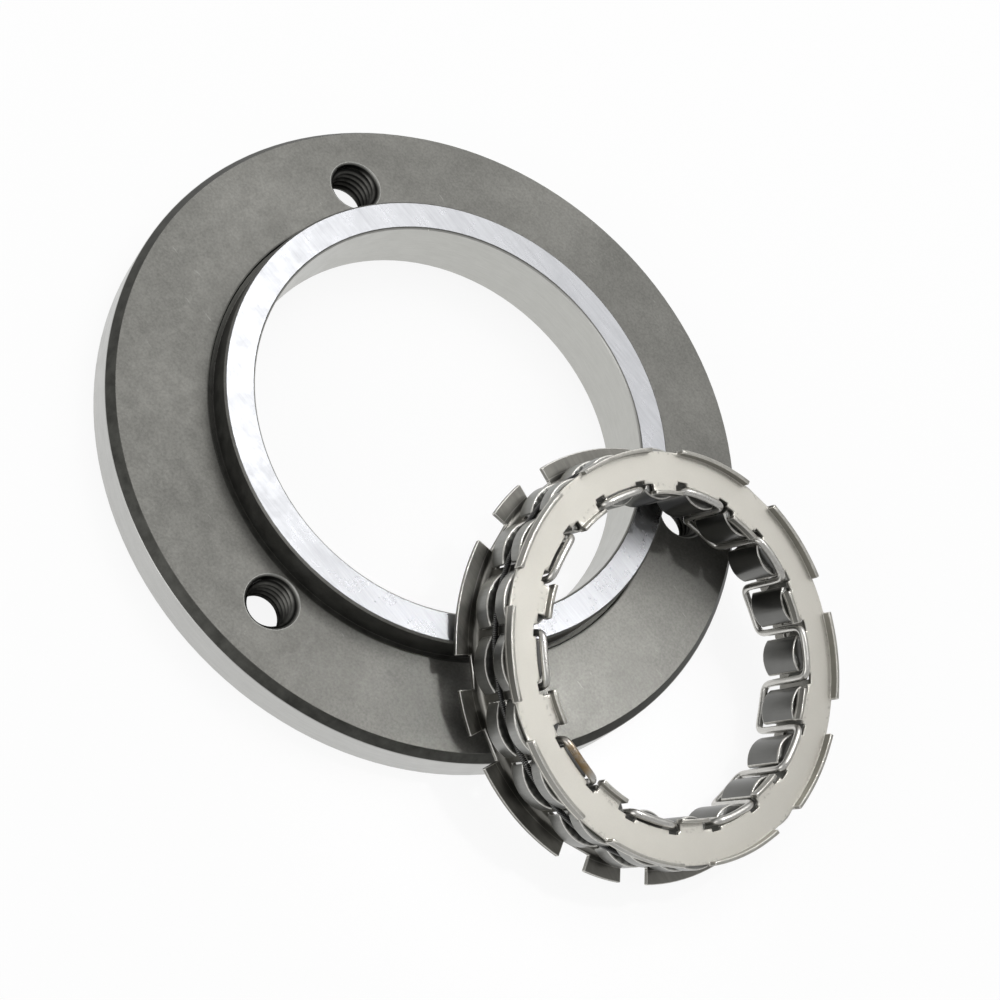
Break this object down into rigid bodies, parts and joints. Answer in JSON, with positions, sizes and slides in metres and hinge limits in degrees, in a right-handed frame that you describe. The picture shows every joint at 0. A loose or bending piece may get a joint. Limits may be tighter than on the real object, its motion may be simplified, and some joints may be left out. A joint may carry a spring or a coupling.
{
  "type": "starter clutch",
  "caption": "Starter clutch for an engine: a flanged outer race with tapped bolt holes, and its sprag set leaning on the boss.",
  "frame": {"origin": "centre of the outer race's back face", "axes": "+Z along the race's bore axis from the back face towards the boss, +X towards the leaning sprag set"},
  "size_m": [0.1372, 0.1094, 0.0283],
  "materials": {
    "race_steel": "turned and hardened, grey, bright on the boss",
    "cage_steel": "pressed sheet, dark warm grey",
    "plate_steel": "pressed sheet, pale satin",
    "spring_wire": "drawn wire, polished",
    "garter_wire": "fine coil, dark",
    "sprag_steel": "ground cams, dark grey with bright edges"
  },
  "bodies": {
    "race": {"race_housing": "race_steel"},
    "sprag_set": {"lug_cage": "cage_steel", "end_plate": "plate_steel", "meander_spring": "spring_wire", "garter_spring": "garter_wire"},
    "sprag_01_body": {"sprag_01": "sprag_steel"},
    "sprag_02_body": {"sprag_02": "sprag_steel"},
    "sprag_03_body": {"sprag_03": "sprag_steel"},
    "sprag_04_body": {"sprag_04": "sprag_steel"},
    "sprag_05_body": {"sprag_05": "sprag_steel"},
    "sprag_06_body": {"sprag_06": "sprag_steel"},
    "sprag_07_body": {"sprag_07": "sprag_steel"},
    "sprag_08_body": {"sprag_08": "sprag_steel"},
    "sprag_09_body": {"sprag_09": "sprag_steel"},
    "sprag_10_body": {"sprag_10": "sprag_steel"},
    "sprag_11_body": {"sprag_11": "sprag_steel"},
    "sprag_12_body": {"sprag_12": "sprag_steel"},
    "sprag_13_body": {"sprag_13": "sprag_steel"},
    "sprag_14_body": {"sprag_14": "sprag_steel"},
    "sprag_15_body": {"sprag_15": "sprag_steel"},
    "sprag_16_body": {"sprag_16": "sprag_steel"},
    "sprag_17_body": {"sprag_17": "sprag_steel"},
    "sprag_18_body": {"sprag_18": "sprag_steel"},
    "sprag_19_body": {"sprag_19": "sprag_steel"},
    "sprag_20_body": {"sprag_20": "sprag_steel"}
  },
  "joints": [
    {"name": "set_lift", "type": "slide", "parent": "race", "child": "sprag_set", "axis": [0, 0, 1], "range_m": [0, 0.06]},
    {"name": "sprag_01_rock", "type": "hinge", "parent": "sprag_set", "child": "sprag_01_body", "pos_m": [0.07774, 0.00172, 0.00789], "axis": [0.2445, 0, 0.9697], "range_deg": [-3, 3]},
    {"name": "sprag_02_rock", "type": "hinge", "parent": "sprag_set", "child": "sprag_02_body", "pos_m": [0.07585, 0.01057, 0.00837], "axis": [0.2445, 0, 0.9697], "range_deg": [-3, 3]},
    {"name": "sprag_03_rock", "type": "hinge", "parent": "sprag_set", "child": "sprag_03_body", "pos_m": [0.0714, 0.01839, 0.00949], "axis": [0.2445, 0, 0.9697], "range_deg": [-3, 3]},
    {"name": "sprag_04_rock", "type": "hinge", "parent": "sprag_set", "child": "sprag_04_body", "pos_m": [0.06483, 0.0244, 0.01115], "axis": [0.2445, 0, 0.9697], "range_deg": [-3, 3]},
    {"name": "sprag_05_rock", "type": "hinge", "parent": "sprag_set", "child": "sprag_05_body", "pos_m": [0.05678, 0.02803, 0.01318], "axis": [0.2445, 0, 0.9697], "range_deg": [-3, 3]},
    {"name": "sprag_06_rock", "type": "hinge", "parent": "sprag_set", "child": "sprag_06_body", "pos_m": [0.04804, 0.02891, 0.01538], "axis": [0.2445, 0, 0.9697], "range_deg": [-3, 3]},
    {"name": "sprag_07_rock", "type": "hinge", "parent": "sprag_set", "child": "sprag_07_body", "pos_m": [0.03945, 0.02696, 0.01755], "axis": [0.2445, 0, 0.9697], "range_deg": [-3, 3]},
    {"name": "sprag_08_rock", "type": "hinge", "parent": "sprag_set", "child": "sprag_08_body", "pos_m": [0.03188, 0.02238, 0.01946], "axis": [0.2445, 0, 0.9697], "range_deg": [-3, 3]},
    {"name": "sprag_09_rock", "type": "hinge", "parent": "sprag_set", "child": "sprag_09_body", "pos_m": [0.02604, 0.0156, 0.02093], "axis": [0.2445, 0, 0.9697], "range_deg": [-3, 3]},
    {"name": "sprag_10_rock", "type": "hinge", "parent": "sprag_set", "child": "sprag_10_body", "pos_m": [0.02253, 0.0073, 0.02181], "axis": [0.2445, 0, 0.9697], "range_deg": [-3, 3]},
    {"name": "sprag_11_rock", "type": "hinge", "parent": "sprag_set", "child": "sprag_11_body", "pos_m": [0.02167, -0.00172, 0.02203], "axis": [0.2445, 0, 0.9697], "range_deg": [-3, 3]},
    {"name": "sprag_12_rock", "type": "hinge", "parent": "sprag_set", "child": "sprag_12_body", "pos_m": [0.02356, -0.01057, 0.02155], "axis": [0.2445, 0, 0.9697], "range_deg": [-3, 3]},
    {"name": "sprag_13_rock", "type": "hinge", "parent": "sprag_set", "child": "sprag_13_body", "pos_m": [0.02801, -0.01839, 0.02043], "axis": [0.2445, 0, 0.9697], "range_deg": [-3, 3]},
    {"name": "sprag_14_rock", "type": "hinge", "parent": "sprag_set", "child": "sprag_14_body", "pos_m": [0.03458, -0.0244, 0.01878], "axis": [0.2445, 0, 0.9697], "range_deg": [-3, 3]},
    {"name": "sprag_15_rock", "type": "hinge", "parent": "sprag_set", "child": "sprag_15_body", "pos_m": [0.04263, -0.02803, 0.01674], "axis": [0.2445, 0, 0.9697], "range_deg": [-3, 3]},
    {"name": "sprag_16_rock", "type": "hinge", "parent": "sprag_set", "child": "sprag_16_body", "pos_m": [0.05137, -0.02891, 0.01454], "axis": [0.2445, 0, 0.9697], "range_deg": [-3, 3]},
    {"name": "sprag_17_rock", "type": "hinge", "parent": "sprag_set", "child": "sprag_17_body", "pos_m": [0.05995, -0.02696, 0.01238], "axis": [0.2445, 0, 0.9697], "range_deg": [-3, 3]},
    {"name": "sprag_18_rock", "type": "hinge", "parent": "sprag_set", "child": "sprag_18_body", "pos_m": [0.06753, -0.02238, 0.01047], "axis": [0.2445, 0, 0.9697], "range_deg": [-3, 3]},
    {"name": "sprag_19_rock", "type": "hinge", "parent": "sprag_set", "child": "sprag_19_body", "pos_m": [0.07336, -0.0156, 0.009], "axis": [0.2445, 0, 0.9697], "range_deg": [-3, 3]},
    {"name": "sprag_20_rock", "type": "hinge", "parent": "sprag_set", "child": "sprag_20_body", "pos_m": [0.07688, -0.0073, 0.00811], "axis": [0.2445, 0, 0.9697], "range_deg": [-3, 3]}
  ],
  "couplings": [
    {"joint": "sprag_02_rock", "follows": "sprag_01_rock", "ratio": 1},
    {"joint": "sprag_03_rock", "follows": "sprag_01_rock", "ratio": 1},
    {"joint": "sprag_04_rock", "follows": "sprag_01_rock", "ratio": 1},
    {"joint": "sprag_05_rock", "follows": "sprag_01_rock", "ratio": 1},
    {"joint": "sprag_06_rock", "follows": "sprag_01_rock", "ratio": 1},
    {"joint": "sprag_07_rock", "follows": "sprag_01_rock", "ratio": 1},
    {"joint": "sprag_08_rock", "follows": "sprag_01_rock", "ratio": 1},
    {"joint": "sprag_09_rock", "follows": "sprag_01_rock", "ratio": 1},
    {"joint": "sprag_10_rock", "follows": "sprag_01_rock", "ratio": 1},
    {"joint": "sprag_11_rock", "follows": "sprag_01_rock", "ratio": 1},
    {"joint": "sprag_12_rock", "follows": "sprag_01_rock", "ratio": 1},
    {"joint": "sprag_13_rock", "follows": "sprag_01_rock", "ratio": 1},
    {"joint": "sprag_14_rock", "follows": "sprag_01_rock", "ratio": 1},
    {"joint": "sprag_15_rock", "follows": "sprag_01_rock", "ratio": 1},
    {"joint": "sprag_16_rock", "follows": "sprag_01_rock", "ratio": 1},
    {"joint": "sprag_17_rock", "follows": "sprag_01_rock", "ratio": 1},
    {"joint": "sprag_18_rock", "follows": "sprag_01_rock", "ratio": 1},
    {"joint": "sprag_19_rock", "follows": "sprag_01_rock", "ratio": 1},
    {"joint": "sprag_20_rock", "follows": "sprag_01_rock", "ratio": 1}
  ]
}
